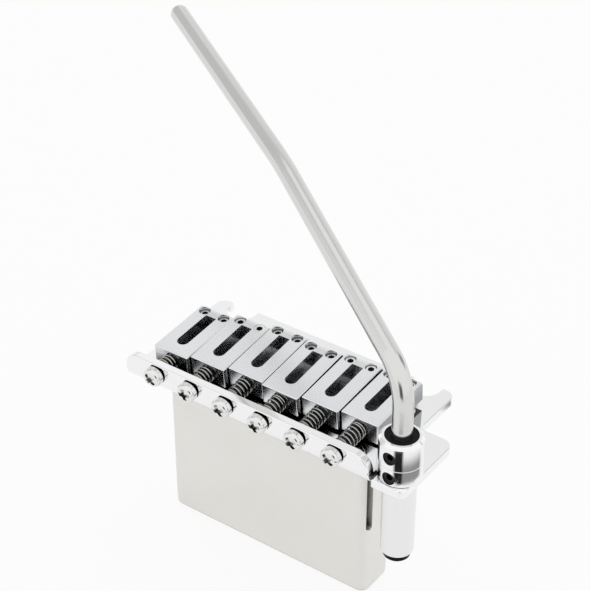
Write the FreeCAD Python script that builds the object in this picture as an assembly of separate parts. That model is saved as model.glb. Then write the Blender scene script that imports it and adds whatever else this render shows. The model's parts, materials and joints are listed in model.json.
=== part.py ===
"""Guitar tremolo bridge: a knife-edge plate, its inertia block, six block saddles and a push-in arm.

Lengths are millimetres. The origin is midway between the two knife edges, on the plate's top face.
+X runs from the bass side to the treble side, +Y towards the neck, +Z up.
"""
import FreeCAD, Part
import math
import os

V = FreeCAD.Vector
ORIGIN = V(0, 0, 0)
ACROSS = V(1, 0, 0)
FORWARD = V(0, 1, 0)
UP = V(0, 0, 1)

# Strings: their spacing at the bridge, and the curve of the fingerboard that the saddles follow
string_pitch = 10.5
string_place_shares = (-2.5, -1.5, -0.5, 0.5, 1.5, 2.5)
fingerboard_radius = 305.0

# Clearances and cuts
cut_overrun = 1.0
thread_clearance = 0.05
running_clearance = 0.05
seat_clearance = 0.02
same_point = 1e-6
least_corner_deg = 30

# Saddles, each in its own frame: zero at the middle of its hole in the flange, Y along its screw
saddle_gap = 0.2
saddle_length = 19.7
saddle_top = 3.05
saddle_height = 5.5
saddle_crest_round = 1.2
saddle_edge_round = 0.3
saddle_rear_wall = 3.5
slot_width = 3.2
slot_front_gap = 1.0
ramp_drop = 0.3
ramp_length = 1.4
crest_height = 8.3
first_setback = 4.85
intonation_step = 1.5
intonation_shares = (0.0, 0.77, 1.77, 1.37, 2.37, 3.05)

# Intonation screws: pan heads with a cross recess, bearing on the rear flange
screw_radius = 1.45
screw_axis_height = 2.5
screw_hole_radius = 1.8
screw_length_step = 2.0
screw_tip_chamfer = 0.3
head_radius = 2.55
head_height = 2.25
head_crown_radius = 6.0
head_shoulder_round = 1.0
head_gap = 0.35
recess_span = 3.3
recess_width = 1.05
recess_depth = 1.1
recess_turns_deg = (45, 10, 25, 15, 35, 45)

# Intonation springs: round wire between the flange and the saddle
spring_radius = 2.2
spring_wire = 0.45
spring_turn_gap = 0.42
spring_bend = 0.5
spring_seat_gap = 0.1
spring_sample_step = 0.1

# Height screws: two in each saddle, with hexagon sockets and ball tips that stand on the plate
height_screw_spread = 5.96
height_screw_front_wall = 2.2
height_screw_step = 0.5
height_screw_recess = 0.6
height_tip_gap = 0.3
hex_socket_flats = 1.5
hex_socket_depth = 1.6
proud_saddle = 1
proud_side = 1

# Base plate: sheet steel with a bent-up rear flange and a half-round notch for each stud
plate_thickness = 2.3
plate_side_margin = 4.4
flange_to_knife = 33.1
knife_to_front = 5.7
flange_height = 5.2
bend_radius = 3.0
relief_width = 0.8
relief_run = 0.4
flange_bass_round = 3.2
plate_edge_round = 0.3
wing_width = 3.7
wing_round = 2.6
notch_radius = 4.1
knife_land = 0.4
string_hole_radius = 1.2
string_row_setback = 14.0

# Inertia block
block_bass_inset = 5.0
block_treble_inset = 6.1
block_setback = 9.33
block_thickness = 11.6
block_height = 44.5
block_corner_round = 2.6
block_edge_round = 0.8
ball_hole_radius = 2.2
ball_hole_depth = 30.0
hook_hole_radius = 1.3
hook_hole_depth = 12.0
hook_row_front_wall = 1.2
hook_place_shares = (-2.0, -1.0, 0.0, 1.0, 2.0)
groove_width = 1.8
groove_depth = 1.7
groove_length = 24.7
groove_setback = 1.87

# Block screws: countersunk, flush with the plate under the saddles
block_screw_radius = 2.0
block_screw_length = 16.0
block_screw_head_radius = 3.5
block_screw_socket_flats = 2.5
block_screw_socket_depth = 1.2
block_screw_place_shares = (-2.0, 0.0, 2.0)

# Arm holder: platform, tube through the plate, two collars, bushing and end cap
holder_offset = 4.93
holder_setback = 5.76
platform_margin = 4.47
platform_depth = 22.4
platform_rear_round = 1.8
platform_front_round = 3.0
platform_throat_round = 2.0
tube_radius = 4.0
tube_wall = 1.0
tube_chamfer = 0.8
collar_wall = 1.28
collar_chamfer = 0.1
collar_top_chamfer = 0.7
lower_collar_height = 4.5
collar_seam = 0.05
upper_collar_height = 6.65
bushing_rim_height = 0.7
bushing_recess = 0.2
bushing_foot_distance = 8.0
cap_rim_inset = 0.75
cap_rim_height = 1.5
cap_round = 0.5
cap_plug_length = 3.5
set_screw_radius = 1.65
set_screw_socket_flats = 1.5
set_screw_socket_depth = 0.8
set_screw_recess = 0.6
set_screw_tip_gap = 0.05
tension_screw_height = 3.05
lock_screw_height = 1.95
lock_dimple_depth = 0.6

# Arm: a round rod, bent twice, with a friction ring near its lower end
arm_radius = 2.45
arm_direction_deg = 150.0
arm_reach_down = 18.0
arm_rise = 19.2
arm_bend_radius = 10.0
arm_first_climb_deg = 17.5
arm_first_run = 57.1
arm_second_bend_radius = 60.0
arm_second_climb_deg = 9.5
arm_second_run = 64.3
arm_foot_chamfer = 0.6
arm_foot_gap = 1.5
ring_height = 1.0
ring_depth = 0.5
ring_foot_distance = 3.0
ring_proud = 0.02

# Sizes that follow from those above
string_places = [share * string_pitch for share in string_place_shares]
saddle_width = string_pitch - saddle_gap
height_screw_row = saddle_length - height_screw_front_wall
plate_half = string_places[-1] + saddle_width / 2 + plate_side_margin
flange_rear = -flange_to_knife
flange_middle = flange_rear + plate_thickness / 2
flange_front = flange_rear + plate_thickness
bend_line = flange_rear + bend_radius
relief_end = bend_line + relief_run
inner_bend = bend_radius - plate_thickness
flange_treble_round = flange_height - inner_bend
plate_bottom = -plate_thickness
stud_offset = plate_half - wing_width - notch_radius
string_row = flange_rear + string_row_setback
block_bass_end = block_bass_inset - plate_half
block_treble_end = plate_half - block_treble_inset
block_rear = flange_rear + block_setback
block_bottom = plate_bottom - block_height
hook_row = block_rear + block_thickness - hook_row_front_wall - hook_hole_radius
holder_x = plate_half + holder_offset
holder_y = flange_rear + holder_setback
holder_foot = V(holder_x, holder_y, 0)
platform_edge = holder_x + platform_margin
platform_front = flange_rear + platform_depth
collar_radius = tube_radius + seat_clearance + collar_wall
upper_collar_base = lower_collar_height + collar_seam
collar_top = upper_collar_base + upper_collar_height
bushing_top = collar_top - bushing_recess
tube_top = bushing_top - bushing_rim_height
tube_bore = tube_radius - tube_wall
tube_drop = arm_reach_down + arm_foot_gap + cap_plug_length
bushing_bore = arm_radius + running_clearance
spring_coil_radius = spring_radius - spring_wire / 2
saddle_setbacks = [first_setback + share * intonation_step for share in intonation_shares]


def upright_box(low, high):
    """A box between two opposite corners."""
    size = high - low
    return Part.makeBox(size.x, size.y, size.z, low)


def rounded_outline(corners):
    """A closed wire through flat corners, each given with the radius of the arc that rounds it."""
    rounded = []
    for index, (corner, radius) in enumerate(corners):
        before = (corners[index - 1][0] - corner).normalize()
        after = (corners[(index + 1) % len(corners)][0] - corner).normalize()
        half_angle = before.getAngle(after) / 2
        reach = radius / math.tan(half_angle)
        inward = (before + after).normalize()
        middle = corner + inward * (radius / math.sin(half_angle) - radius)
        rounded.append((corner + before * reach, middle, corner + after * reach, radius))
    edges = []
    for index, (start, middle, end, radius) in enumerate(rounded):
        if radius > 0:
            edges.append(Part.Arc(start, middle, end).toShape())
        following = rounded[(index + 1) % len(rounded)][0]
        if not end.isEqual(following, same_point):
            edges.append(Part.LineSegment(end, following).toShape())
    return Part.Wire(edges)


def slab(outline, travel):
    """The solid that a flat outline sweeps along a vector."""
    return Part.Face(outline).extrude(travel)


def turned(profile, foot=ORIGIN):
    """A solid turned about the upright line through its foot, from (radius, height) corners."""
    points = [V(radius, 0, height) for radius, height in profile]
    solid = Part.Face(Part.makePolygon(points + points[:1])).revolve(ORIGIN, UP, 360)
    solid.translate(foot)
    return solid


def hex_prism(flats, low, height):
    """An upright hexagonal bar on the Z axis, for cutting a socket."""
    corner = flats / math.sqrt(3)
    points = []
    for step in range(6):
        angle = math.radians(60 * step)
        points.append(V(corner * math.cos(angle), corner * math.sin(angle), low))
    return slab(Part.makePolygon(points + points[:1]), UP * height)


def hex_socket(flats, depth, top):
    """The cutter for a hexagon socket that opens upwards at a screw's top."""
    return hex_prism(flats, top - depth, depth + cut_overrun)


def rod(radius, start, end):
    """A round bar between two points."""
    return Part.makeCylinder(radius, start.distanceToPoint(end), start, end - start)


def sharp_edges(shape):
    """The edges of a solid along which two faces meet at a corner."""
    picked = []
    for edge in shape.Edges:
        middle = edge.valueAt((edge.FirstParameter + edge.LastParameter) / 2)
        normals = []
        for face in shape.ancestorsOfType(edge, Part.Face):
            normals.append(face.normalAt(*face.Surface.parameter(middle)))
        if len(normals) == 2 and math.degrees(normals[0].getAngle(normals[1])) > least_corner_deg:
            picked.append(edge)
    return picked


def saddle_tilt(index):
    """The angle, in radians, that brings a saddle's crest to the curve of the fingerboard."""
    place = string_places[index]
    fall = fingerboard_radius - math.sqrt(fingerboard_radius ** 2 - place ** 2)
    reach = saddle_setbacks[index] + height_screw_row
    rise = crest_height - fall - screw_axis_height
    return math.asin(rise / math.hypot(reach, saddle_top)) - math.atan2(saddle_top, reach)


def set_in_place(shape, index):
    """Moves a piece from its saddle's own frame to its string's place on the plate."""
    shape.rotate(ORIGIN, ACROSS, math.degrees(saddle_tilt(index)))
    shape.translate(V(string_places[index], flange_middle, screw_axis_height))
    return shape


def saddle_body(rear):
    """A saddle's block, with its crest rounded at the front and its upper edges eased."""
    half = saddle_width / 2
    front = rear + saddle_length
    bottom = saddle_top - saddle_height
    outline = rounded_outline([
        (V(-half, rear, bottom), 0),
        (V(-half, front, bottom), 0),
        (V(-half, front, saddle_top), saddle_crest_round),
        (V(-half, rear, saddle_top), saddle_edge_round),
    ])
    body = slab(outline, ACROSS * saddle_width)
    side_edges = []
    for edge in body.Edges:
        middle = edge.CenterOfMass
        if abs(abs(middle.x) - half) < same_point and middle.z - bottom > same_point:
            side_edges.append(edge)
    return body.makeFillet(saddle_edge_round, side_edges)


def saddle(index):
    """A block saddle with its string slot, the ramp up to the crest, and its three tapped holes."""
    rear = saddle_setbacks[index]
    bottom = saddle_top - saddle_height
    slot_half = slot_width / 2
    slot_start = rear + saddle_rear_wall + slot_half
    slot_end = rear + height_screw_row - slot_front_gap
    below = bottom - cut_overrun
    above = saddle_top + cut_overrun
    body = saddle_body(rear)
    slot = upright_box(V(-slot_half, slot_start, below), V(slot_half, slot_end, above))
    slot = slot.fuse(rod(slot_half, V(0, slot_start, below), V(0, slot_start, above)))
    ramp_corners = [
        V(-slot_half, slot_end - cut_overrun, saddle_top - ramp_drop),
        V(-slot_half, slot_end, saddle_top - ramp_drop),
        V(-slot_half, slot_end + ramp_length, saddle_top),
        V(-slot_half, slot_end + ramp_length, above),
        V(-slot_half, slot_end - cut_overrun, above),
    ]
    ramp = slab(Part.makePolygon(ramp_corners + ramp_corners[:1]), ACROSS * slot_width)
    tapped_radius = screw_radius + thread_clearance
    screw_hole = rod(tapped_radius, V(0, rear - cut_overrun, 0), V(0, slot_start, 0))
    cutters = [slot, ramp, screw_hole]
    for side in (-1, 1):
        place = V(side * height_screw_spread / 2, rear + height_screw_row, 0)
        cutters.append(rod(tapped_radius, place + UP * below, place + UP * above))
    for cutter in cutters:
        body = body.cut(cutter)
    return set_in_place(body, index)


def screw_reach(index):
    """The shank length that passes the flange, the spring and the saddle's rear wall, in whole steps."""
    least = head_gap + plate_thickness / 2 + saddle_setbacks[index] + saddle_rear_wall
    return math.ceil(least / screw_length_step) * screw_length_step


def intonation_screw(index):
    """A pan-head screw with a cross recess, its head behind the flange and its tip in the saddle."""
    length = screw_reach(index)
    inner_reach = head_crown_radius - head_shoulder_round
    crown_lean = math.asin((head_radius - head_shoulder_round) / inner_reach)
    crown_centre = UP * (head_height - head_crown_radius)
    shoulder_centre = crown_centre + V(math.sin(crown_lean), 0, math.cos(crown_lean)) * inner_reach
    head_rim = shoulder_centre.z

    def on_round(centre, radius, lean):
        return centre + V(math.sin(lean), 0, math.cos(lean)) * radius

    crown_edge = on_round(crown_centre, head_crown_radius, crown_lean)
    crown_middle = on_round(crown_centre, head_crown_radius, crown_lean / 2)
    shoulder_middle = on_round(shoulder_centre, head_shoulder_round, (crown_lean + math.pi / 2) / 2)
    corners = [
        V(0, 0, head_height),
        V(0, 0, -length),
        V(screw_radius - screw_tip_chamfer, 0, -length),
        V(screw_radius, 0, screw_tip_chamfer - length),
        V(screw_radius, 0, 0),
        V(head_radius, 0, 0),
        V(head_radius, 0, head_rim),
    ]
    edges = Part.makePolygon(corners).Edges
    edges.append(Part.Arc(corners[-1], shoulder_middle, crown_edge).toShape())
    edges.append(Part.Arc(crown_edge, crown_middle, corners[0]).toShape())
    screw = Part.Face(Part.Wire(edges)).revolve(ORIGIN, UP, 360)
    floor = head_height - recess_depth
    above = head_height + cut_overrun
    for long_way, short_way in ((recess_span, recess_width), (recess_width, recess_span)):
        arm_corner = V(long_way / 2, short_way / 2, 0)
        recess_arm = upright_box(UP * floor - arm_corner, UP * above + arm_corner)
        recess_arm.rotate(ORIGIN, UP, recess_turns_deg[index])
        screw = screw.cut(recess_arm)
    screw.rotate(ORIGIN, ACROSS, 90)
    screw.translate(FORWARD * -(plate_thickness / 2 + head_gap))
    return set_in_place(screw, index)


def biarc(start, start_way, end, end_way):
    """Two arcs that leave one point and reach another along given unit directions."""
    chord = end - start
    square = 2 * (1 - start_way.dot(end_way))
    linear = 2 * chord.dot(start_way + end_way)
    length = (math.sqrt(linear ** 2 + 4 * square * chord.dot(chord)) - linear) / (2 * square)
    first_corner = start + start_way * length
    last_corner = end - end_way * length
    joint = (first_corner + last_corner) / 2
    arcs = []
    for near, corner, far in ((start, first_corner, joint), (joint, last_corner, end)):
        half_chord = near.distanceToPoint(far) / 2
        middle = (near + far) / 2
        outward = corner - middle
        lean = math.atan2(outward.Length, half_chord)
        arcs.append(Part.Arc(near, middle + outward.normalize() * half_chord * math.tan(lean / 2), far))
    return arcs


def spring_path(index):
    """The centre line of a spring's wire: even turns in halves between two straight feet at its side."""
    low = plate_thickness / 2 + spring_seat_gap
    high = saddle_setbacks[index] - spring_seat_gap
    foot = spring_wire + spring_bend
    room = high - low - 2 * foot
    half_turns = math.floor(2 * room / (spring_wire + spring_turn_gap))
    half_pitch = room / half_turns
    around = math.pi * spring_coil_radius
    helix_length = math.hypot(around, half_pitch)
    lead_in = spring_bend / spring_coil_radius

    def point(angle, distance):
        return V(spring_coil_radius * math.cos(angle), distance, spring_coil_radius * math.sin(angle))

    def way(angle):
        flat = V(-math.sin(angle), 0, math.cos(angle))
        return (flat * around + FORWARD * half_pitch) / helix_length

    stations = [(point(-lead_in, low + spring_wire), FORWARD)]
    for step in range(half_turns + 1):
        angle = math.pi * step
        stations.append((point(angle, low + foot + half_pitch * step), way(angle)))
    last_angle = math.pi * half_turns + lead_in
    stations.append((point(last_angle, high - spring_wire), FORWARD))
    curves = [Part.LineSegment(point(-lead_in, low), stations[0][0])]
    for (start, start_way), (end, end_way) in zip(stations, stations[1:]):
        curves += biarc(start, start_way, end, end_way)
    curves.append(Part.LineSegment(stations[-1][0], point(last_angle, high)))
    return curves


def least_turn_gap(spine):
    """The least gap between a wire and itself, on points half a turn or more apart."""
    points = spine.discretize(Distance=spring_sample_step)
    apart = math.ceil(math.pi * spring_coil_radius / spring_sample_step)
    least = math.inf
    for index, point in enumerate(points):
        for other in points[index + apart:]:
            least = min(least, point.distanceToPoint(other))
    return least - spring_wire


def intonation_spring(index):
    """A compression spring of round wire, one unbroken tube."""
    curves = spring_path(index)
    spine = Part.Wire([curve.toShape() for curve in curves])
    print("spring", index + 1, "least gap to itself", round(least_turn_gap(spine), 3))
    section = Part.Circle(curves[0].StartPoint, FORWARD, spring_wire / 2)
    pipe = Part.BRepOffsetAPI.MakePipeShell(spine)
    pipe.add(Part.Wire([section.toShape()]))
    pipe.build()
    pipe.makeSolid()
    return set_in_place(pipe.shape(), index)


def height_screw(index, side):
    """A socket set screw, its ball tip just clear of the plate and its top near the saddle's."""
    tilt = saddle_tilt(index)
    row = saddle_setbacks[index] + height_screw_row
    ball_rise = screw_radius + height_tip_gap - screw_axis_height - row * math.sin(tilt)
    ball = ball_rise / math.cos(tilt)
    tip = ball - screw_radius
    steps = math.floor((saddle_top - height_screw_recess - tip) / height_screw_step)
    if (index, side) == (proud_saddle, proud_side):
        steps += 1
    top = tip + steps * height_screw_step
    shank = Part.makeCylinder(screw_radius, top - ball, UP * ball)
    screw = shank.fuse(Part.makeSphere(screw_radius, UP * ball)).removeSplitter()
    screw = screw.cut(hex_socket(hex_socket_flats, hex_socket_depth, top))
    screw.translate(V(side * height_screw_spread / 2, row, 0))
    return screw


def height_screws(index):
    """The pair of height screws of one saddle."""
    pair = Part.makeCompound([height_screw(index, side) for side in (-1, 1)])
    return set_in_place(pair, index)


def plate_sheet():
    """The flat sheet with the arm platform, cut free of the flange by a bend relief."""
    outline = rounded_outline([
        (V(-plate_half, bend_line, 0), 0),
        (V(plate_half, bend_line, 0), 0),
        (V(plate_half, relief_end, 0), 0),
        (V(plate_half + relief_width, relief_end, 0), 0),
        (V(plate_half + relief_width, flange_rear, 0), 0),
        (V(platform_edge, flange_rear, 0), platform_rear_round),
        (V(platform_edge, platform_front, 0), platform_front_round),
        (V(plate_half, platform_front, 0), platform_throat_round),
        (V(plate_half, knife_to_front, 0), wing_round),
        (V(-plate_half, knife_to_front, 0), wing_round),
    ])
    sheet = slab(outline, UP * plate_bottom)
    outer_edges = []
    for edge in sharp_edges(sheet):
        limits = edge.BoundBox
        meets_flange = limits.YLength < same_point and abs(limits.YMax - bend_line) < same_point
        if limits.ZLength < same_point and not meets_flange:
            outer_edges.append(edge)
    return sheet.makeFillet(plate_edge_round, outer_edges)


def plate_flange():
    """The rear flange with its bend, its corner small at the bass end and wide at the treble end."""
    bent = rounded_outline([
        (V(-plate_half, flange_rear, flange_height), 0),
        (V(-plate_half, flange_rear, plate_bottom), bend_radius),
        (V(-plate_half, bend_line, plate_bottom), 0),
        (V(-plate_half, bend_line, 0), 0),
        (V(-plate_half, flange_front, 0), inner_bend),
        (V(-plate_half, flange_front, flange_height), 0),
    ])
    rear = flange_rear - cut_overrun
    silhouette = rounded_outline([
        (V(-plate_half, rear, plate_bottom), 0),
        (V(plate_half, rear, plate_bottom), 0),
        (V(plate_half, rear, flange_height), flange_treble_round),
        (V(-plate_half, rear, flange_height), flange_bass_round),
    ])
    flange = slab(bent, ACROSS * (2 * plate_half))
    flange = flange.common(slab(silhouette, FORWARD * (bend_radius + 2 * cut_overrun)))
    free_edges = [edge for edge in sharp_edges(flange) if bend_line - edge.BoundBox.YMin > same_point]
    return flange.makeFillet(plate_edge_round, free_edges)


def stud_notch(side):
    """The cutter for one stud's half-round notch, with the bevel under its knife edge."""
    centre = V(side * stud_offset, notch_radius, 0)
    below = plate_bottom - cut_overrun
    notch = rod(notch_radius, centre + UP * below, centre + UP * cut_overrun)
    mouth_length = knife_to_front - notch_radius + cut_overrun
    mouth = upright_box(centre + V(-notch_radius, 0, below),
                        centre + V(notch_radius, mouth_length, cut_overrun))
    bevel_depth = plate_thickness - knife_land
    bevel = Part.makeCone(notch_radius + bevel_depth, notch_radius, bevel_depth,
                          centre + UP * plate_bottom)
    reach = notch_radius + bevel_depth + cut_overrun
    rear_half = upright_box(centre + V(-reach, -reach, below), centre + V(reach, 0, cut_overrun))
    return notch.fuse(mouth).fuse(bevel.common(rear_half))


def block_screw_profile(clearance):
    """Corners of a countersunk screw, its head flush at zero height, grown by a clearance."""
    head = block_screw_head_radius + clearance
    shank = block_screw_radius + clearance
    return [(0, 0), (head, 0), (shank, shank - head), (shank, -block_screw_length - clearance),
            (0, -block_screw_length - clearance)]


def block_screw_places():
    """Points on the plate's top face where the block screws stand."""
    return [V(share * string_pitch, string_row, 0) for share in block_screw_place_shares]


def set_screw_hole(height, inner_radius):
    """The cutter for a set screw's hole, running out of the arm holder towards the rear."""
    centre = holder_foot + UP * height
    outer_radius = collar_radius + cut_overrun
    tapped_radius = set_screw_radius + thread_clearance
    return rod(tapped_radius, centre - FORWARD * inner_radius, centre - FORWARD * outer_radius)


def base_plate():
    """The bent plate with its knife edges and all its holes."""
    plate = plate_sheet().fuse(plate_flange()).removeSplitter()
    cutters = [stud_notch(-1), stud_notch(1)]
    through = UP * (plate_bottom - cut_overrun)
    for place in string_places:
        behind = V(place, flange_rear - cut_overrun, screw_axis_height)
        ahead = V(place, flange_front + cut_overrun, screw_axis_height)
        cutters.append(rod(screw_hole_radius, behind, ahead))
        string_hole = V(place, string_row, 0)
        cutters.append(rod(string_hole_radius, string_hole + through, string_hole + UP * cut_overrun))
    cutters += [turned(block_screw_profile(thread_clearance), place) for place in block_screw_places()]
    tube_hole = tube_radius + seat_clearance
    cutters.append(rod(tube_hole, holder_foot + through, holder_foot + UP * cut_overrun))
    for cutter in cutters:
        plate = plate.cut(cutter)
    return plate


def block_body():
    """The block's bar, with rounded upright edges and eased lower edges."""
    block = upright_box(V(block_bass_end, block_rear, block_bottom),
                        V(block_treble_end, block_rear + block_thickness, plate_bottom))
    upright = [edge for edge in block.Edges if edge.BoundBox.ZLength > same_point]
    block = block.makeFillet(block_corner_round, upright)
    lower = [edge for edge in block.Edges if abs(edge.BoundBox.ZMax - block_bottom) < same_point]
    return block.makeFillet(block_edge_round, lower)


def tremolo_block():
    """The inertia block with string, hook and screw holes, and the groove in its treble end."""
    block = block_body()
    below = block_bottom - cut_overrun
    above = plate_bottom + cut_overrun
    cutters = []
    for place in string_places:
        hole = V(place, string_row, 0)
        cutters.append(rod(string_hole_radius, hole + UP * below, hole + UP * above))
        ball_seat = hole + UP * (block_bottom + ball_hole_depth)
        cutters.append(rod(ball_hole_radius, hole + UP * below, ball_seat))
    for share in hook_place_shares:
        hole = V(share * string_pitch, hook_row, 0)
        hook_end = hole + UP * (block_bottom + hook_hole_depth)
        cutters.append(rod(hook_hole_radius, hole + UP * below, hook_end))
    cutters += [turned(block_screw_profile(thread_clearance), place) for place in block_screw_places()]
    groove_half = groove_width / 2
    groove_floor = plate_bottom - groove_length + groove_half
    groove_end = V(block_treble_end - groove_depth, block_rear + groove_setback, groove_floor)
    outside = ACROSS * (groove_depth + cut_overrun)
    cutters.append(rod(groove_half, groove_end, groove_end + outside))
    cutters.append(upright_box(groove_end - FORWARD * groove_half,
                               V(block_treble_end + cut_overrun, groove_end.y + groove_half, above)))
    for cutter in cutters:
        block = block.cut(cutter)
    return block


def block_screws():
    """The three countersunk screws that hold the block under the plate."""
    screws = []
    for place in block_screw_places():
        screw = turned(block_screw_profile(0))
        screw = screw.cut(hex_socket(block_screw_socket_flats, block_screw_socket_depth, 0))
        screw.translate(place)
        screws.append(screw)
    return Part.makeCompound(screws)


def collar(low, high, top_chamfer):
    """A plain ring round the holder's tube, with chamfered rims."""
    bore = tube_radius + seat_clearance
    profile = [(bore, low), (collar_radius - collar_chamfer, low), (collar_radius, low + collar_chamfer),
               (collar_radius, high - top_chamfer), (collar_radius - top_chamfer, high), (bore, high)]
    return turned(profile, holder_foot)


def lower_collar():
    """The ring on the platform, with the lock screw's hole."""
    ring = collar(0, lower_collar_height, collar_chamfer)
    return ring.cut(set_screw_hole(lock_screw_height, 0))


def upper_collar():
    """The ring above it, with the tension screw's hole."""
    ring = collar(upper_collar_base, collar_top, collar_top_chamfer)
    return ring.cut(set_screw_hole(upper_collar_base + tension_screw_height, 0))


def arm_tube():
    """The tube that carries the arm, down through the platform."""
    foot = -tube_drop
    profile = [(tube_bore, foot), (tube_radius - tube_chamfer, foot), (tube_radius, foot + tube_chamfer),
               (tube_radius, tube_top), (tube_bore, tube_top)]
    tube = turned(profile, holder_foot)
    tube = tube.cut(set_screw_hole(upper_collar_base + tension_screw_height, 0))
    return tube.cut(set_screw_hole(lock_screw_height, tube_radius - lock_dimple_depth))


def arm_bushing():
    """The lining that grips the arm, with a rim on the tube's mouth."""
    sleeve = tube_bore - seat_clearance
    foot = bushing_foot_distance - arm_reach_down
    profile = [(bushing_bore, foot), (sleeve, foot), (sleeve, tube_top), (tube_radius, tube_top),
               (tube_radius, bushing_top), (bushing_bore, bushing_top)]
    return turned(profile, holder_foot)


def tube_end_cap():
    """The plug in the tube's lower end."""
    plug = tube_bore - seat_clearance
    rim = tube_radius - cap_rim_inset
    seat = -tube_drop
    foot = seat - cap_rim_height
    profile = [(0, foot), (rim - cap_round, foot), (rim, foot + cap_round), (rim, seat), (plug, seat),
               (plug, seat + cap_plug_length), (0, seat + cap_plug_length)]
    return turned(profile, holder_foot)


def set_screw(height, inner):
    """A socket set screw that points at the holder's axis from the rear."""
    outer = collar_radius - set_screw_recess
    screw = Part.makeCylinder(set_screw_radius, outer - inner, UP * inner)
    screw = screw.cut(hex_socket(set_screw_socket_flats, set_screw_socket_depth, outer))
    screw.rotate(ORIGIN, ACROSS, 90)
    screw.translate(holder_foot + UP * height)
    return screw


def tension_screw():
    """The screw that presses the bushing on the arm."""
    sleeve = tube_bore - seat_clearance
    return set_screw(upper_collar_base + tension_screw_height, sleeve + set_screw_tip_gap)


def lock_screw():
    """The screw that holds the lower collar on the tube."""
    return set_screw(lock_screw_height, tube_radius - lock_dimple_depth + set_screw_tip_gap)


def arm_path():
    """The arm's centre line as lines and tangent arcs, with the point where its round tip is centred."""
    heading = math.radians(arm_direction_deg)
    outward = V(math.cos(heading), math.sin(heading), 0)
    first_climb = math.radians(arm_first_climb_deg)
    second_climb = math.radians(arm_second_climb_deg)

    def along(angle):
        return outward * math.cos(angle) + UP * math.sin(angle)

    def above(angle):
        return UP * math.cos(angle) - outward * math.sin(angle)

    foot = holder_foot - UP * arm_reach_down
    shoulder = holder_foot + UP * arm_rise
    first_centre = shoulder + outward * arm_bend_radius
    first_middle = first_centre + above((first_climb + math.pi / 2) / 2) * arm_bend_radius
    first_end = first_centre + above(first_climb) * arm_bend_radius
    second_start = first_end + along(first_climb) * arm_first_run
    second_centre = second_start - above(first_climb) * arm_second_bend_radius
    second_middle = second_centre + above((first_climb + second_climb) / 2) * arm_second_bend_radius
    second_end = second_centre + above(second_climb) * arm_second_bend_radius
    tip = second_end + along(second_climb) * arm_second_run
    curves = [
        Part.LineSegment(foot, shoulder),
        Part.Arc(shoulder, first_middle, first_end),
        Part.LineSegment(first_end, second_start),
        Part.Arc(second_start, second_middle, second_end),
        Part.LineSegment(second_end, tip),
    ]
    return curves, tip


def ring_span():
    """The lowest and highest heights of the friction ring's groove."""
    low = ring_foot_distance - arm_reach_down
    return low, low + ring_height


def arm():
    """The bent rod with its round tip, chamfered foot and ring groove."""
    curves, tip = arm_path()
    spine = Part.Wire([curve.toShape() for curve in curves])
    section = Part.Wire([Part.Circle(curves[0].StartPoint, UP, arm_radius).toShape()])
    bar = spine.makePipeShell([section], True, False)
    bar = bar.fuse(Part.makeSphere(arm_radius, tip)).removeSplitter()
    foot_edges = [edge for edge in bar.Edges if abs(edge.BoundBox.ZMax + arm_reach_down) < same_point]
    bar = bar.makeChamfer(arm_foot_chamfer, foot_edges)
    low, high = ring_span()
    inner = arm_radius - ring_depth
    outer = arm_radius + cut_overrun
    return bar.cut(turned([(inner, low), (outer, low), (outer, high), (inner, high)], holder_foot))


def arm_ring():
    """The friction ring in the arm's groove, a hair proud of the rod."""
    low, high = ring_span()
    inner = arm_radius - ring_depth + seat_clearance
    outer = arm_radius + ring_proud
    floor = low + seat_clearance
    roof = high - seat_clearance
    return turned([(inner, floor), (outer, floor), (outer, roof), (inner, roof)], holder_foot)


def bridge_pieces():
    """Every piece by its name."""
    pieces = {
        "base_plate": base_plate(),
        "tremolo_block": tremolo_block(),
        "block_screws": block_screws(),
        "lower_collar": lower_collar(),
        "upper_collar": upper_collar(),
        "arm_tube": arm_tube(),
        "arm_bushing": arm_bushing(),
        "tube_end_cap": tube_end_cap(),
        "tension_screw": tension_screw(),
        "lock_screw": lock_screw(),
        "arm": arm(),
        "arm_ring": arm_ring(),
    }
    for index in range(len(string_places)):
        number = index + 1
        pieces[f"saddle_{number}"] = saddle(index)
        pieces[f"intonation_screw_{number}"] = intonation_screw(index)
        pieces[f"intonation_spring_{number}"] = intonation_spring(index)
        pieces[f"height_screws_{number}"] = height_screws(index)
    return pieces


os.makedirs("parts", exist_ok=True)
for name, shape in bridge_pieces().items():
    shape.exportStep(f"parts/{name}.step")
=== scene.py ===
"""Looks of a guitar tremolo bridge: wound springs, plated finishes and a small white studio.

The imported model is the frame. Lengths are metres, in the frame of the model: +X towards the treble side,
+Y towards the neck, +Z up, with the origin midway between the knife edges.
"""
import json
import math
from collections import namedtuple

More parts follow.
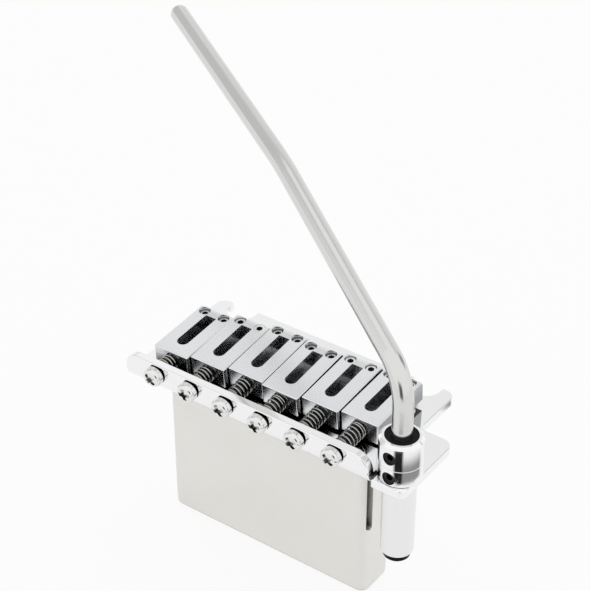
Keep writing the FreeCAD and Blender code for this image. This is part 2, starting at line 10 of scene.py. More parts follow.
import bpy
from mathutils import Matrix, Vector


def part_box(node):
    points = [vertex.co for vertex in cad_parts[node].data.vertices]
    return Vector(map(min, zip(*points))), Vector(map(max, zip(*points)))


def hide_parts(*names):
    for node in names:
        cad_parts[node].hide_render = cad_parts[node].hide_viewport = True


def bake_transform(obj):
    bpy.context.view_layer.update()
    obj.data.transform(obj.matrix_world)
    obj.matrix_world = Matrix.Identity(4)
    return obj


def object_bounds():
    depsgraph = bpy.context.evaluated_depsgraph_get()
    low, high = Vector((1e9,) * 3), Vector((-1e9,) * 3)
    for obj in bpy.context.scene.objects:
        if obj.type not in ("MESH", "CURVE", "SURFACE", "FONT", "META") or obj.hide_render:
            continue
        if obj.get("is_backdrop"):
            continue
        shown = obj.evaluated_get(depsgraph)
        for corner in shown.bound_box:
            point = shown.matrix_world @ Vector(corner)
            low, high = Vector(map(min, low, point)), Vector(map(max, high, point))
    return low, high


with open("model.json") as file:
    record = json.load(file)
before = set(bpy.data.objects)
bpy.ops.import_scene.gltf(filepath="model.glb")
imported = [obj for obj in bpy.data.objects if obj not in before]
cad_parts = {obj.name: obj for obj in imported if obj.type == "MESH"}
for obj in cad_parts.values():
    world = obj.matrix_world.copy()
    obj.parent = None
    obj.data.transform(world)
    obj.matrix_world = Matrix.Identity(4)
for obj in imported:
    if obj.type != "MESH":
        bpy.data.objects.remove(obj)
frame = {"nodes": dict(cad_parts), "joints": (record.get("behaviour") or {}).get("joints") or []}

bl_info = {
    "name": "Tremolo Bridge Looks",
    "version": (1, 0, 0),
    "blender": (4, 5, 0),
    "location": "View3D > Sidebar > Bridge",
    "description": "Winds the intonation springs, plates the metal and sets the studio of a tremolo bridge",
    "category": "Object",
}

CAD_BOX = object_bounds()
STRINGS = range(1, 7)
MM = 0.001
WHITE = (1.0, 1.0, 1.0, 1.0)

# Metal: the share of its colour that the darker patches keep, the depth of relief at full strength, and the
# rays that each point sends out to find how open it lies, for the shade painted in its recesses
PATCH_SHADE = 0.95
RELIEF_DEPTH = 0.1 * MM
RECESS_RAYS = 24
# Painted shade in recesses: how far round a point it is felt, how open a point lies where the painted shade
# is full and where it ends, and the share of its colour left where it is full
RecessShade = namedtuple("RecessShade", "reach bare covered depth")
# The middle part of a noise pattern, over which roughness runs from its lower value to its higher one
PATTERN_SPAN = (0.3, 0.7)
THREAD_PITCH_MM = 0.5

# Moulded polymer: the shares of its colour between which its tone runs, its relief and its reflection
POLYMER_TONES = (0.7, 1.2)
POLYMER_RELIEF = 0.15
POLYMER_RELIEF_DEPTH = 0.03 * MM
POLYMER_IOR = 1.53
DULL_SPECULAR = 0.1

# Paper: its darker tone, its roughness, and how far the camera and the mirroring metal see it lifted to white
PAPER_SHADE = 0.985
PAPER_ROUGHNESS = 0.9
PAPER_LIFT = 0.9
PAPER_LIFT_MIRRORED = 0.72

# Springs: one closed turn at each end, and the turns over which the slope of the seat fades out
CLOSED_TURNS = 2
SLOPE_FADE = (0.5, 2.5)

SENSOR_WIDTH = 36.0
NEAR_CLIP = 0.01
SOFTBOX_PLACE = (-0.15, 0.2, 0.75)
SOFTBOX_SIZE = 0.7

# The tent round the part, which only the metal mirrors. Heights stand above the floor. Stops are degrees from
# +X towards +Y, each with one shade for every rim of the band, from 0, black, to 1, white.
TENT_STEPS = 16
CARD_LIFT = 0.2 * MM
BARE = (1.0,) * 6

# The plate and the saddles mirror the lower back wall, and the arm mirrors its top and its left end.
BACK_RADIUS = 0.95
BACK_HEIGHTS = (0.2, 0.32, 1.07, 1.22, 1.85, 2.15)
BACK_TREBLE = (1.0, 0.86, 0.86, 0.7, 0.68, 1.0)
BACK_BASS = (1.0, 0.95, 0.95, 0.7, 0.68, 1.0)
BACK_LEFT = (1.0, 0.68, 0.68, 0.68, 0.68, 1.0)
BACK_STOPS = [(50, BARE), (70, BACK_TREBLE), (122, BACK_TREBLE), (134, BACK_BASS),
              (150, BACK_LEFT), (200, BACK_LEFT), (222, BARE)]

# A dark doorway, which the arm's bend mirrors, stands on the floor.
DOOR_RADIUS = 0.42
DOOR_HEIGHTS = (CARD_LIFT, 0.17, 0.24)
DOOR_DARK = (0.05, 0.05, 1.0)
DOOR_STOPS = [(-80, BARE), (-70, DOOR_DARK), (-54, DOOR_DARK), (-46, BARE)]

# A card lies on the floor round the holder, and the collars mirror its dark strip and its grey sheet.
CARD_RADII = (0.0615, 0.068, 0.073, 0.076, 0.079)
CARD_STRIP = (0.01, 0.01, 0.01, 0.01, 1.0)
CARD_SHEET = (0.26, 0.28, 0.9, 1.0, 1.0)
CARD_STOPS = [(-98, BARE), (-84, CARD_STRIP), (-55, CARD_STRIP),
              (-44, CARD_SHEET), (40, CARD_SHEET), (54, BARE)]

# Two grey sheets, low and high, darken the treble saddle's side and its image in the plate.
SIDE_GREY = (1.0, 0.32, 0.32, 1.0)
SIDE_RADII = (0.062, 0.066, 0.088, 0.092)
SIDE_STOPS = [(50, BARE), (54, SIDE_GREY), (60, SIDE_GREY), (66, BARE)]
SHEET_RADIUS = 0.6
SHEET_HEIGHTS = (0.24, 0.3, 0.62, 0.7)
SHEET_STOPS = [(38, BARE), (46, SIDE_GREY), (62, SIDE_GREY), (70, BARE)]


def linear(hex_colour):
    """Scene-linear colour of an sRGB hex value."""
    channels = []
    for start in (0, 2, 4):
        share = int(hex_colour[start:start + 2], 16) / 255
        channels.append(share / 12.92 if share <= 0.04045 else ((share + 0.055) / 1.055) ** 2.4)
    return tuple(channels)


def opaque(colour, share=1.0):
    """A shader colour from three channels, or from a share of each."""
    return (*[channel * share for channel in colour], 1.0)


def per_metre(size_mm):
    """Texture scale at which one feature measures this many millimetres."""
    return 1 / (size_mm * MM)


def bands_per_metre(pitch_mm):
    """Wave texture scale at which its bands, 20 radians to a unit, stand this many millimetres apart."""
    return 2 * math.pi / 20 / (pitch_mm * MM)


def add_node(tree, kind, settings, inputs):
    """Adds a node, with its settings, and with a value or a link on each named input."""
    node = tree.nodes.new(kind)
    for name, value in settings.items():
        setattr(node, name, value)
    for name, value in inputs.items():
        if isinstance(value, bpy.types.NodeSocket):
            tree.links.new(value, node.inputs[name])
        else:
            node.inputs[name].default_value = value
    return node


def calculated(tree, operation, *values):
    """The result of one math step on its values."""
    return add_node(tree, "ShaderNodeMath", {"operation": operation}, dict(enumerate(values))).outputs["Value"]


def carried(tree, value, start, end, low, high):
    """A value carried from the range of start and end to that of low and high, and held at its ends."""
    return add_node(tree, "ShaderNodeMapRange", {}, {
        "Value": value, "From Min": start, "From Max": end, "To Min": low, "To Max": high}).outputs["Result"]


def mixed_colour(tree, factor, first, second):
    """The colour that lies between two others, at a factor from the first to the second."""
    return add_node(tree, "ShaderNodeMix", {"data_type": "RGBA"}, {
        "Factor": factor, 6: first, 7: second}).outputs[2]


def noise(tree, place, size_mm, detail, roughness=0.5):
    """A cloudy pattern whose features measure this many millimetres."""
    return add_node(tree, "ShaderNodeTexNoise", {}, {
        "Vector": place, "Scale": per_metre(size_mm), "Detail": detail, "Roughness": roughness}).outputs["Fac"]


def stretched(tree, place, scale):
    """The point on the piece with its axes scaled, so that a pattern on it grows along the small ones."""
    return add_node(tree, "ShaderNodeMapping", {}, {"Vector": place, "Scale": scale}).outputs["Vector"]


def new_finish(name):
    """A fresh material with its tree, its shader and the point on the piece that its patterns read."""
    finish = bpy.data.materials.new(name)
    finish.use_nodes = True
    tree = finish.node_tree
    place = add_node(tree, "ShaderNodeTexCoord", {}, {}).outputs["Object"]
    return finish, tree, tree.nodes["Principled BSDF"], place


def dress(finish, *names):
    """Gives CAD nodes their finish."""
    for name in names:
        for slot in frame["nodes"][name].material_slots:
            slot.material = finish


class BridgeColours(bpy.types.PropertyGroup):
    """Colours of the bridge's finishes."""

    chrome: bpy.props.FloatVectorProperty(
        name="Chrome", description="Reflected colour of the bright chrome on plate, collars and tube",
        subtype="COLOR", min=0, max=1, default=linear("FAFAFB"))
    saddle: bpy.props.FloatVectorProperty(
        name="Saddle chrome", description="Reflected colour of the lapped chrome on the saddles",
        subtype="COLOR", min=0, max=1, default=linear("F1F2F4"))
    block: bpy.props.FloatVectorProperty(
        name="Block", description="Reflected colour of the bead-blasted nickel on the inertia block",
        subtype="COLOR", min=0, max=1, default=linear("F1EFEB"))
    arm: bpy.props.FloatVectorProperty(
        name="Arm", description="Reflected colour of the satin chrome on the arm",
        subtype="COLOR", min=0, max=1, default=linear("E0E0DE"))
    screw: bpy.props.FloatVectorProperty(
        name="Screws", description="Reflected colour of the nickel plating on the screws",
        subtype="COLOR", min=0, max=1, default=linear("EDEDEC"))
    # Painted shade: the dark colour of a long shank, which lies in shade inside its spring
    shank: bpy.props.FloatVectorProperty(
        name="Shanks", description="Reflected colour of the oiled thread on the long screws' shanks",
        subtype="COLOR", min=0, max=1, default=linear("4A4B4D"))
    # Partly the steel's own grey and partly painted shade for the shaded pocket the springs lie in
    wire: bpy.props.FloatVectorProperty(
        name="Spring wire", description="Reflected colour of the drawn spring wire",
        subtype="COLOR", min=0, max=1, default=linear("B4B4AF"))
    oxide: bpy.props.FloatVectorProperty(
        name="Black oxide", description="Reflected colour of the oxide skin on the set screws",
        subtype="COLOR", min=0, max=1, default=linear("303033"))
    nylon: bpy.props.FloatVectorProperty(
        name="Nylon", description="Colour of the moulded nylon bushing and cap",
        subtype="COLOR", min=0, max=1, default=linear("08080A"))
    rubber: bpy.props.FloatVectorProperty(
        name="Rubber", description="Colour of the friction ring",
        subtype="COLOR", min=0, max=1, default=linear("1B1A1A"))


class BridgeSprings(bpy.types.PropertyGroup):
    """Sizes of the intonation springs."""

    wire: bpy.props.FloatProperty(
        name="Wire", description="Diameter of the spring wire",
        subtype="DISTANCE", unit="LENGTH", min=0.0001, default=0.4 * MM)
    pitch: bpy.props.FloatProperty(
        name="Pitch", description="Distance that one open turn takes, before the turns are made whole",
        subtype="DISTANCE", unit="LENGTH", min=0.0002, default=1.2 * MM)
    seat: bpy.props.FloatProperty(
        name="Seat", description="Room left between a spring's end and what it bears on",
        subtype="DISTANCE", unit="LENGTH", min=0, default=0.04 * MM)
    turn_steps: bpy.props.IntProperty(
        name="Steps", description="Points along the wire in each turn", min=8, default=40)
    wire_sides: bpy.props.IntProperty(
        name="Sides", description="Sides of the wire's round section", min=6, default=14)


class BridgeStudio(bpy.types.PropertyGroup):
    """Floor, light and camera of the studio."""

    floor: bpy.props.FloatVectorProperty(
        name="Floor", description="Colour of the paper floor",
        subtype="COLOR", min=0, max=1, default=linear("F6F6F6"))
    floor_size: bpy.props.FloatProperty(
        name="Floor size", description="Side of the square floor",
        subtype="DISTANCE", unit="LENGTH", min=0.5, default=6.0)
    key_power: bpy.props.FloatProperty(
        name="Key light", description="Power of the large soft light overhead",
        subtype="POWER", unit="POWER", min=0, default=2.2)
    sky: bpy.props.FloatProperty(
        name="Sky", description="Strength of the even light from all round", min=0, default=0.6)
    camera_place: bpy.props.FloatVectorProperty(
        name="Camera", description="Place of the camera",
        subtype="TRANSLATION", unit="LENGTH", default=(0.1886, -0.2744, 0.2406))
    camera_aim: bpy.props.FloatVectorProperty(
        name="Aim", description="Direction in which the camera looks",
        subtype="DIRECTION", default=(-0.4845, 0.6752, -0.5562))
    lens: bpy.props.FloatProperty(
        name="Lens", description="Focal length on a sensor 36 mm wide",
        subtype="DISTANCE_CAMERA", unit="CAMERA", min=10, default=100.0)


def metal_shader(tree, shader, place, colour, patch_mm, fine, gloss, height, relief, recess):
    """Sets a metal's shader: slow patches of tone, painted shade in recesses, gloss from a fine pattern, and
    relief.
    """
    patches = noise(tree, place, patch_mm, 2.0)
    tone = mixed_colour(tree, patches, opaque(colour, PATCH_SHADE), opaque(colour))
    # Painted shade: recesses, gaps and hollows are painted darker by how closed in each point lies, for the
    # shade that falls there.
    air = add_node(tree, "ShaderNodeAmbientOcclusion", {"samples": RECESS_RAYS}, {"Distance": recess.reach})
    unshaded_share = add_node(tree, "ShaderNodeMapRange", {"interpolation_type": "SMOOTHSTEP"}, {
        "Value": air.outputs["AO"], "From Min": recess.bare, "From Max": recess.covered})
    with_painted_shade = mixed_colour(tree, unshaded_share.outputs["Result"], opaque(colour, recess.depth), tone)
    bump = add_node(tree, "ShaderNodeBump", {}, {
        "Strength": relief, "Distance": RELIEF_DEPTH, "Height": height})
    tree.links.new(with_painted_shade, shader.inputs["Base Color"])
    tree.links.new(carried(tree, fine, *PATTERN_SPAN, *gloss), shader.inputs["Roughness"])
    tree.links.new(bump.outputs["Normal"], shader.inputs["Normal"])
    shader.inputs["Metallic"].default_value = 1.0


def polished_chrome(colour):
    # Bright chrome over buffed steel: a near mirror, with a faint haze from the buffing wheel
    # that softens some reflections more than others.
    finish, tree, shader, place = new_finish("polished_chrome")
    haze = noise(tree, place, 2.5, 4.0, 0.6)
    metal_shader(tree, shader, place, colour, patch_mm=8.0, fine=haze, gloss=(0.03, 0.08),
                 height=haze, relief=0.02, recess=RecessShade(5 * MM, 0.15, 0.6, 0.05))
    return finish


def drawn_chrome(colour):
    # Chrome over drawn steel tube, plated as it left the die: bright, with faint streaks along its length. Its
    # colour is painted a shade greyer than the buffed plate's, as painted shade for the shadowed floor near the
    # holder that it mirrors.
    finish, tree, shader, place = new_finish("drawn_chrome")
    along = stretched(tree, place, (1.0, 1.0, 0.03))
    streaks = noise(tree, along, 0.9, 3.0)
    # Painted shade: the tube's colour is 0.93 of the plate's, for the shadowed floor that it mirrors.
    shade_greyed = [channel * 0.93 for channel in colour]
    metal_shader(tree, shader, along, shade_greyed, patch_mm=1.6, fine=streaks, gloss=(0.06, 0.12),
                 height=streaks, relief=0.02, recess=RecessShade(5 * MM, 0.15, 0.6, 0.05))
    return finish


def lapped_chrome(colour):
    # Chrome over a block lapped flat on fine paper: clean even planes that mirror softly,
    # with hair-fine lines across the string that only show as a slight sheen.
    finish, tree, shader, place = new_finish("lapped_chrome")
    # The lines of the paper are finer than the render shows, so they are drawn 0.3 mm apart.
    lines = noise(tree, stretched(tree, place, (0.04, 1.0, 1.0)), 0.3, 2.0)
    metal_shader(tree, shader, place, colour, patch_mm=9.0, fine=lines, gloss=(0.22, 0.24),
                 height=lines, relief=0.003, recess=RecessShade(5 * MM, 0.15, 0.5, 0.06))
    return finish


def blasted_nickel(colour):
    # Nickel over a bead-blasted steel bar: an even matt sheen, a little warm, with no clear reflection.
    finish, tree, shader, place = new_finish("bead_blasted_nickel")
    # Blasting grit leaves pits of about 0.1 mm, drawn at 0.35 mm so that the grain shows.
    pits = noise(tree, place, 0.35, 3.0, 0.7)
    metal_shader(tree, shader, place, colour, patch_mm=14.0, fine=pits, gloss=(0.44, 0.54),
                 height=pits, relief=0.05, recess=RecessShade(3 * MM, 0.2, 0.6, 0.1))
    return finish


def satin_chrome(colour):
    # Chrome over a rod drawn and satin-finished before bending: a soft long highlight,
    # warm grey beside the bright chrome of the plate.
    finish, tree, shader, place = new_finish("satin_chrome")
    grain = noise(tree, place, 0.5, 3.0)
    metal_shader(tree, shader, place, colour, patch_mm=12.0, fine=grain, gloss=(0.15, 0.21),
                 height=grain, relief=0.015, recess=RecessShade(2 * MM, 0.1, 0.5, 0.1))
    return finish


def nickel_screw(name, colour, shank_shade_colour, thread_axis, thread_from, reach):
    # Nickel-plated turned steel: bright heads with a fine turned haze, and a rolled thread on the shank, which
    # is drawn as rings.
    # A long shank is painted dark as painted shade, for the shade it lies in inside the spring.
    finish, tree, shader, place = new_finish(name)
    split = add_node(tree, "ShaderNodeSeparateXYZ", {}, {"Vector": place})
    rings = add_node(tree, "ShaderNodeTexWave", {"bands_direction": thread_axis, "wave_profile": "TRI"}, {
        "Vector": place, "Scale": bands_per_metre(THREAD_PITCH_MM)})
    on_shank = calculated(tree, "GREATER_THAN", split.outputs["Y"], thread_from)
    thread = calculated(tree, "MULTIPLY", rings.outputs["Fac"], on_shank)
    haze = noise(tree, place, 0.8, 3.0)
    metal_shader(tree, shader, place, colour, patch_mm=4.0, fine=haze, gloss=(0.05, 0.12),
                 height=thread, relief=0.8, recess=RecessShade(reach, 0.3, 0.8, 0.22))
    # Painted shade: past thread_from, the colour gives way to the dark shank colour.
    with_painted_shade = shader.inputs["Base Color"].links[0].from_socket
    tree.links.new(mixed_colour(tree, on_shank, with_painted_shade, opaque(shank_shade_colour)), shader.inputs["Base Color"])
    return finish


def black_oxide(colour):
    # Black oxide on hardened steel: a thin blue-black skin, oiled, that mirrors only faintly.
    finish, tree, shader, place = new_finish("black_oxide_steel")
    oil = noise(tree, place, 0.6, 3.0)
    metal_shader(tree, shader, place, colour, patch_mm=2.0, fine=oil, gloss=(0.3, 0.45),
                 height=oil, relief=0.05, recess=RecessShade(1.5 * MM, 0.2, 0.6, 0.1))
    return finish


def drawn_wire(colour):
    # Hard-drawn spring steel: a bright thin wire, a little streaked by the die. Its colour is partly the steel's
    # own grey and partly painted shade for the pocket it lies in.
    finish, tree, shader, place = new_finish("drawn_spring_wire")
    streaks = noise(tree, place, 0.4, 3.0)
    metal_shader(tree, shader, place, colour, patch_mm=3.0, fine=streaks, gloss=(0.12, 0.2),
                 height=streaks, relief=0.02, recess=RecessShade(3 * MM, 0.15, 0.7, 0.06))
    return finish


def moulded_polymer(name, colour, grain_mm, gloss):
    # Moulded polymer, nylon or rubber: near black, with the dull skin that the mould leaves.
    finish, tree, shader, place = new_finish(name)
    skin = noise(tree, place, grain_mm, 4.0)
    tone = mixed_colour(tree, skin, *[opaque(colour, share) for share in POLYMER_TONES])
    bump = add_node(tree, "ShaderNodeBump", {}, {
        "Strength": POLYMER_RELIEF, "Distance": POLYMER_RELIEF_DEPTH, "Height": skin})
    tree.links.new(tone, shader.inputs["Base Color"])
    tree.links.new(carried(tree, skin, *PATTERN_SPAN, *gloss), shader.inputs["Roughness"])
    tree.links.new(bump.outputs["Normal"], shader.inputs["Normal"])
    shader.inputs["IOR"].default_value = POLYMER_IOR
    shader.inputs["Specular IOR Level"].default_value = DULL_SPECULAR
    return finish


SPRING_INPUTS = {
    "Turns": "NodeSocketFloat",
    "Coil Radius": "NodeSocketFloat",
    "Wire Radius": "NodeSocketFloat",
    "Length": "NodeSocketFloat",
    "Seat Slope": "NodeSocketFloat",
    "Turn Steps": "NodeSocketInt",
    "Wire Sides": "NodeSocketInt",
    "Start": "NodeSocketVector",
    "Turn": "NodeSocketRotation",
    "Finish": "NodeSocketMaterial",
}


def spring_tree():
    """A compression spring with closed end turns, its first one seated on a sloping face."""
    tree = bpy.data.node_groups.new("compression_spring", "GeometryNodeTree")
    for name, kind in SPRING_INPUTS.items():
        tree.interface.new_socket(name, in_out="INPUT", socket_type=kind)
    tree.interface.new_socket("Geometry", in_out="OUTPUT", socket_type="NodeSocketGeometry")
    given = add_node(tree, "NodeGroupInput", {}, {}).outputs
    spiral = add_node(tree, "GeometryNodeCurveSpiral", {}, {
        "Resolution": given["Turn Steps"], "Rotations": given["Turns"],
        "Start Radius": given["Coil Radius"], "End Radius": given["Coil Radius"], "Height": 0.0})
    parameter = add_node(tree, "GeometryNodeSplineParameter", {}, {})
    turn = calculated(tree, "MULTIPLY", parameter.outputs["Factor"], given["Turns"])
    last_turn = calculated(tree, "SUBTRACT", given["Turns"], 1.0)
    # A closed turn rises by the wire's thickness, and the open ones between share what is left.
    closed = calculated(tree, "MULTIPLY", given["Wire Radius"], 2.0)
    both_closed = calculated(tree, "MULTIPLY", closed, CLOSED_TURNS)
    open_length = calculated(tree, "SUBTRACT", given["Length"], both_closed)
    first = carried(tree, turn, 0.0, 1.0, 0.0, closed)
    middle = carried(tree, turn, 1.0, last_turn, 0.0, open_length)
    last = carried(tree, turn, last_turn, given["Turns"], 0.0, closed)
    height = calculated(tree, "ADD", calculated(tree, "ADD", first, middle), last)
    position = add_node(tree, "GeometryNodeInputPosition", {}, {})
    flat = add_node(tree, "ShaderNodeSeparateXYZ", {}, {"Vector": position.outputs["Position"]}).outputs
    slope = calculated(tree, "MULTIPLY", given["Seat Slope"], carried(tree, turn, *SLOPE_FADE, 1.0, 0.0))
    seated = calculated(tree, "MULTIPLY_ADD", flat["Y"], slope, height)
    wound = add_node(tree, "ShaderNodeCombineXYZ", {}, {"X": flat["X"], "Y": flat["Y"], "Z": seated})
    helix = add_node(tree, "GeometryNodeSetPosition", {}, {
        "Geometry": spiral.outputs["Curve"], "Position": wound.outputs["Vector"]})
    section = add_node(tree, "GeometryNodeCurvePrimitiveCircle", {}, {
        "Resolution": given["Wire Sides"], "Radius": given["Wire Radius"]})
    wire = add_node(tree, "GeometryNodeCurveToMesh", {}, {
        "Curve": helix.outputs["Geometry"], "Profile Curve": section.outputs["Curve"], "Fill Caps": True})
    placed = add_node(tree, "GeometryNodeTransform", {}, {
        "Geometry": wire.outputs["Mesh"], "Translation": given["Start"], "Rotation": given["Turn"]})
    smooth = add_node(tree, "GeometryNodeSetShadeSmooth", {}, {"Geometry": placed.outputs["Geometry"]})
    real = add_node(tree, "GeometryNodeRealizeInstances", {}, {"Geometry": smooth.outputs["Geometry"]})
    dressed = add_node(tree, "GeometryNodeSetMaterial", {}, {
        "Geometry": real.outputs["Geometry"], "Material": given["Finish"]})
    add_node(tree, "NodeGroupOutput", {}, {"Geometry": dressed.outputs["Geometry"]})
    return tree


def grown(name, tree, sizes):
    """A plain mesh object from a geometry tree and the values of its named inputs."""
    holder = bpy.data.objects.new(name, bpy.data.meshes.new(name))
    bpy.context.scene.collection.objects.link(holder)
    modifier = holder.modifiers.new(tree.name, "NODES")
    modifier.node_group = tree
    for item in tree.interface.items_tree:
        if item.in_out == "INPUT":
            modifier[item.identifier] = sizes[item.name]
    graph = bpy.context.evaluated_depsgraph_get()
    mesh = bpy.data.meshes.new_from_object(holder.evaluated_get(graph))
    holder.modifiers.remove(modifier)
    holder.data = mesh
    mesh.name = name
    if not mesh.polygons:
        raise RuntimeError(f"{name} came out empty")
    return holder


def joint_named(name):
    """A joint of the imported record."""
    for joint in frame["joints"]:
        if joint["name"] == name:
            return joint
    raise RuntimeError(f"the frame has no joint named {name}")


class BRIDGE_OT_wind_springs(bpy.types.Operator):
    """Winds the six springs that push the saddles away from the flange"""

    bl_idname = "bridge.wind_springs"
    bl_label = "Wind Springs"

    def execute(self, context):
        sizes = context.scene.bridge_springs
        finish = drawn_wire(context.scene.bridge_colours.wire)
        tree = spring_tree()
        for number in STRINGS:
            node = f"intonation_spring_{number}"
            along = Vector(joint_named(f"intonation_{number}")["axis"]).normalized()
            hinge = Vector(joint_named(f"saddle_height_{number}")["pos_m"])
            distances = [(vertex.co - hinge).dot(along) for vertex in frame["nodes"][node].data.vertices]
            low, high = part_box(node)
            tilt = math.atan2(along.z, along.y)
            wire = sizes.wire / 2
            near = min(distances) + sizes.seat + wire
            far = max(distances) - sizes.seat - wire
            # The open turns come in halves.
            turns = round((far - near - CLOSED_TURNS * sizes.wire) / sizes.pitch * 2) / 2 + CLOSED_TURNS
            coil = grown(f"spring_coil_{number}", tree, {
                "Turns": turns,
                "Coil Radius": (high.x - low.x) / 2 - wire,
                "Wire Radius": wire,
                "Length": far - near,
                "Seat Slope": -math.tan(tilt),
                "Turn Steps": sizes.turn_steps,
                "Wire Sides": sizes.wire_sides,
                "Start": hinge + along * near,
                "Turn": (tilt - math.pi / 2, 0.0, 0.0),
                "Finish": finish,
            })
            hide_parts(node)
            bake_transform(coil)
        return {"FINISHED"}


class BRIDGE_OT_plate(bpy.types.Operator):
    """Gives the base plate and the arm holder their bright chrome"""

    bl_idname = "bridge.plate"
    bl_label = "Chrome Plate and Holder"

    def execute(self, context):
        chrome = context.scene.bridge_colours.chrome
        dress(polished_chrome(chrome), "base_plate", "lower_collar", "upper_collar")
        dress(drawn_chrome(chrome), "arm_tube")
        return {"FINISHED"}


class BRIDGE_OT_block(bpy.types.Operator):
    """Gives the inertia block its blasted nickel"""

    bl_idname = "bridge.block"
    bl_label = "Finish Block"

    def execute(self, context):
        dress(blasted_nickel(context.scene.bridge_colours.block), "tremolo_block")
        return {"FINISHED"}


class BRIDGE_OT_saddles(bpy.types.Operator):
    """Gives the six saddles their lapped chrome"""

    bl_idname = "bridge.saddles"
    bl_label = "Finish Saddles"

    def execute(self, context):
        finish = lapped_chrome(context.scene.bridge_colours.saddle)
        dress(finish, *[f"saddle_{number}" for number in STRINGS])
        return {"FINISHED"}


class BRIDGE_OT_screws(bpy.types.Operator):
    """Gives the screws their nickel, with a thread on the long shanks, and the set screws their oxide"""

    bl_idname = "bridge.screws"
    bl_label = "Finish Screws"

    def execute(self, context):
        colours = context.scene.bridge_colours
        flange_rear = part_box("base_plate")[0].y
        long_screw = nickel_screw("nickel_long_screw", colours.screw, colours.shank, "Y", flange_rear, 1.1 * MM)
        dress(long_screw, *[f"intonation_screw_{number}" for number in STRINGS])
        # The short screws show no shank, so theirs would start past the end of the whole bridge.
        past_end = CAD_BOX[1].y
        set_screw = nickel_screw("nickel_set_screw", colours.screw, colours.shank, "Z", past_end, 1.5 * MM)
        dress(set_screw, "block_screws", *[f"height_screws_{number}" for number in STRINGS])
        dress(black_oxide(colours.oxide), "tension_screw", "lock_screw")
        return {"FINISHED"}


class BRIDGE_OT_arm(bpy.types.Operator):
    """Gives the arm its satin chrome, and its friction ring a rubber skin"""

    bl_idname = "bridge.arm"
    bl_label = "Finish Arm"

    def execute(self, context):
        colours = context.scene.bridge_colours
        dress(satin_chrome(colours.arm), "arm")
        rubber = moulded_polymer("moulded_rubber", colours.rubber, grain_mm=0.3, gloss=(0.6, 0.75))
        dress(rubber, "arm_ring")
        return {"FINISHED"}


class BRIDGE_OT_mouldings(bpy.types.Operator):
    """Gives the bushing and the tube's cap their black nylon"""

    bl_idname = "bridge.mouldings"
    bl_label = "Finish Mouldings"

    def execute(self, context):
        colours = context.scene.bridge_colours
        nylon = moulded_polymer("moulded_nylon", colours.nylon, grain_mm=0.5, gloss=(0.35, 0.5))
        dress(nylon, "arm_bushing", "tube_end_cap")
        return {"FINISHED"}


def paper_floor(colour):
    # Seamless white paper: dull and even, lifted towards white where the eye or a mirror sees it,
    # and still darker in the object's shadow.
    finish, tree, shader, place = new_finish("white_paper")
    fibres = noise(tree, place, 3.0, 3.0)
    tone = mixed_colour(tree, fibres, opaque(colour, PAPER_SHADE), opaque(colour))
    tree.links.new(tone, shader.inputs["Base Color"])
    shader.inputs["Roughness"].default_value = PAPER_ROUGHNESS
    shader.inputs["Specular IOR Level"].default_value = DULL_SPECULAR
    path = add_node(tree, "ShaderNodeLightPath", {}, {}).outputs
    mirrored = calculated(tree, "MAXIMUM", path["Is Glossy Ray"], path["Is Transmission Ray"])
    dimmed = calculated(tree, "MULTIPLY", mirrored, PAPER_LIFT_MIRRORED)
    lift = calculated(tree, "MULTIPLY_ADD", path["Is Camera Ray"], PAPER_LIFT, dimmed)
    glow = add_node(tree, "ShaderNodeEmission", {}, {"Color": WHITE, "Strength": 1.0})
    mixed = add_node(tree, "ShaderNodeMixShader", {}, {
        0: lift, 1: shader.outputs["BSDF"], 2: glow.outputs["Emission"]})
    tree.links.new(mixed.outputs["Shader"], tree.nodes["Material Output"].inputs["Surface"])
    return finish


def seen_rays(tree):
    """One for rays that the eye, a mirror or glass sends out, and zero for those that only carry light."""
    path = add_node(tree, "ShaderNodeLightPath", {}, {}).outputs
    mirrored = calculated(tree, "MAXIMUM", path["Is Camera Ray"], path["Is Glossy Ray"])
    return calculated(tree, "MAXIMUM", mirrored, path["Is Transmission Ray"])


def soft_light(name, place, aim, size, power):
    """A square soft light that faces a point."""
    lamp = bpy.data.lights.new(name, "AREA")
    lamp.size = size
    lamp.energy = power
    holder = bpy.data.objects.new(name, lamp)
    holder.location = place
    holder.rotation_euler = (Vector(aim) - Vector(place)).to_track_quat("-Z", "Y").to_euler()
    # Only its light counts: mirrored, its outline would cut across the flat tops.
    holder.visible_glossy = False
    bpy.context.scene.collection.objects.link(holder)


def tent_cloth():
    # Studio cloth, from white to black by the shade that each band holds, that only the metal mirrors.
    finish, tree, *_ = new_finish("studio_cloth")
    shade = add_node(tree, "ShaderNodeAttribute", {"attribute_name": "shade"}, {})
    glow = add_node(tree, "ShaderNodeEmission", {}, {"Strength": shade.outputs["Fac"]})
    tree.links.new(glow.outputs["Emission"], tree.nodes["Material Output"].inputs["Surface"])
    return finish


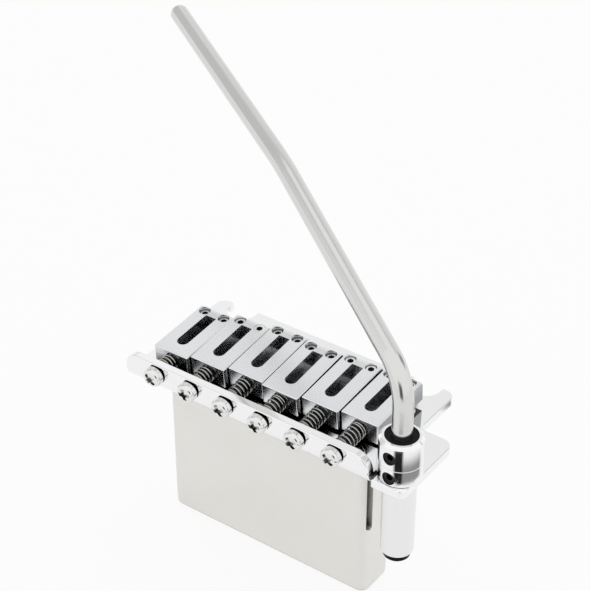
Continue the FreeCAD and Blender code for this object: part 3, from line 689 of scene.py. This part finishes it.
def tent_band(name, centre, rims, stops, finish):
    """A band of the tent round a centre: rims of (radius, height), and stops of (degrees, shade on each rim)."""
    points = []
    shades = []
    for (start, near), (end, far) in zip(stops, stops[1:]):
        for step in range(TENT_STEPS + 1):
            share = step / TENT_STEPS
            angle = math.radians(start + (end - start) * share)
            for (radius, height), first, last in zip(rims, near, far):
                points.append((centre.x + radius * math.cos(angle), centre.y + radius * math.sin(angle), height))
                shades.append(first + (last - first) * share)
    row = len(rims)
    faces = []
    for step in range(len(points) // row - 1):
        for rim in range(row - 1):
            corner = step * row + rim
            faces.append((corner, corner + row, corner + row + 1, corner + 1))
    mesh = bpy.data.meshes.new(name)
    mesh.from_pydata(points, [], faces)
    mesh.attributes.new("shade", "FLOAT", "POINT").data.foreach_set("value", shades)
    mesh.materials.append(finish)
    band = bpy.data.objects.new(name, mesh)
    for ray in ("camera", "diffuse", "shadow", "transmission", "volume_scatter"):
        setattr(band, f"visible_{ray}", False)
    bpy.context.scene.collection.objects.link(band)
    band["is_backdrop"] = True


class BRIDGE_OT_studio(bpy.types.Operator):
    """Lays the paper floor, hangs the lights and sets the camera"""

    bl_idname = "bridge.studio"
    bl_label = "Set Studio"

    def execute(self, context):
        scene = context.scene
        studio = scene.bridge_studio
        scene.view_settings.view_transform = "Standard"
        low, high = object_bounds()
        middle = (low + high) / 2
        half = studio.floor_size / 2
        corners = [(-half, -half, low.z), (half, -half, low.z), (half, half, low.z), (-half, half, low.z)]
        paper = bpy.data.meshes.new("paper_floor")
        paper.from_pydata(corners, [], [(0, 1, 2, 3)])
        paper.materials.append(paper_floor(studio.floor))
        floor = bpy.data.objects.new("paper_floor", paper)
        scene.collection.objects.link(floor)
        floor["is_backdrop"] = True

        world = bpy.data.worlds.new("studio_air")
        scene.world = world
        world.use_nodes = True
        tree = world.node_tree
        strength = carried(tree, seen_rays(tree), 0.0, 1.0, studio.sky, 1.0)
        tree.links.new(strength, tree.nodes["Background"].inputs["Strength"])
        tree.nodes["Background"].inputs["Color"].default_value = WHITE

        cloth = tent_cloth()
        card_top = low.z + CARD_LIFT
        holder_low, holder_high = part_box("arm_tube")
        holder = (holder_low + holder_high) / 2
        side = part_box("saddle_6")[1]
        tent_band("tent_back", middle, [(BACK_RADIUS, low.z + height) for height in BACK_HEIGHTS],
                  BACK_STOPS, cloth)
        tent_band("tent_door", middle, [(DOOR_RADIUS, low.z + height) for height in DOOR_HEIGHTS],
                  DOOR_STOPS, cloth)
        tent_band("floor_card", holder, [(radius, card_top) for radius in CARD_RADII], CARD_STOPS, cloth)
        tent_band("side_card", side, [(radius, card_top) for radius in SIDE_RADII], SIDE_STOPS, cloth)
        tent_band("side_sheet", middle, [(SHEET_RADIUS, low.z + height) for height in SHEET_HEIGHTS],
                  SHEET_STOPS, cloth)

        soft_light("overhead_softbox", SOFTBOX_PLACE, middle, SOFTBOX_SIZE, studio.key_power)

        lens = bpy.data.cameras.new("camera")
        lens.lens = studio.lens
        lens.sensor_fit = "HORIZONTAL"
        lens.sensor_width = SENSOR_WIDTH
        lens.clip_start = NEAR_CLIP
        camera = bpy.data.objects.new("camera", lens)
        camera.location = studio.camera_place
        camera.rotation_euler = Vector(studio.camera_aim).to_track_quat("-Z", "Y").to_euler()
        scene.collection.objects.link(camera)
        scene.camera = camera
        return {"FINISHED"}


class BRIDGE_PT_looks(bpy.types.Panel):
    """Lists the steps that dress the bridge"""

    bl_idname = "BRIDGE_PT_looks"
    bl_label = "Tremolo Bridge"
    bl_space_type = "VIEW_3D"
    bl_region_type = "UI"
    bl_category = "Bridge"

    def draw(self, context):
        for step in STEPS:
            self.layout.operator(step.bl_idname)
        for group in (context.scene.bridge_springs, context.scene.bridge_colours, context.scene.bridge_studio):
            box = self.layout.box()
            for name in group.bl_rna.properties.keys():
                if name not in ("rna_type", "name"):
                    box.prop(group, name)


STEPS = (
    BRIDGE_OT_wind_springs,
    BRIDGE_OT_plate,
    BRIDGE_OT_block,
    BRIDGE_OT_saddles,
    BRIDGE_OT_screws,
    BRIDGE_OT_arm,
    BRIDGE_OT_mouldings,
    BRIDGE_OT_studio,
)
GROUPS = {
    "bridge_colours": BridgeColours,
    "bridge_springs": BridgeSprings,
    "bridge_studio": BridgeStudio,
}


def register():
    for group in GROUPS.values():
        bpy.utils.register_class(group)
    for name, group in GROUPS.items():
        setattr(bpy.types.Scene, name, bpy.props.PointerProperty(type=group))
    for step in STEPS:
        bpy.utils.register_class(step)
    bpy.utils.register_class(BRIDGE_PT_looks)


def unregister():
    bpy.utils.unregister_class(BRIDGE_PT_looks)
    for step in reversed(STEPS):
        bpy.utils.unregister_class(step)
    for name, group in reversed(GROUPS.items()):
        delattr(bpy.types.Scene, name)
        bpy.utils.unregister_class(group)


def main():
    register()
    bpy.ops.bridge.wind_springs()
    bpy.ops.bridge.plate()
    bpy.ops.bridge.block()
    bpy.ops.bridge.saddles()
    bpy.ops.bridge.screws()
    bpy.ops.bridge.arm()
    bpy.ops.bridge.mouldings()
    bpy.ops.bridge.studio()


if __name__ == "__main__":
    main()
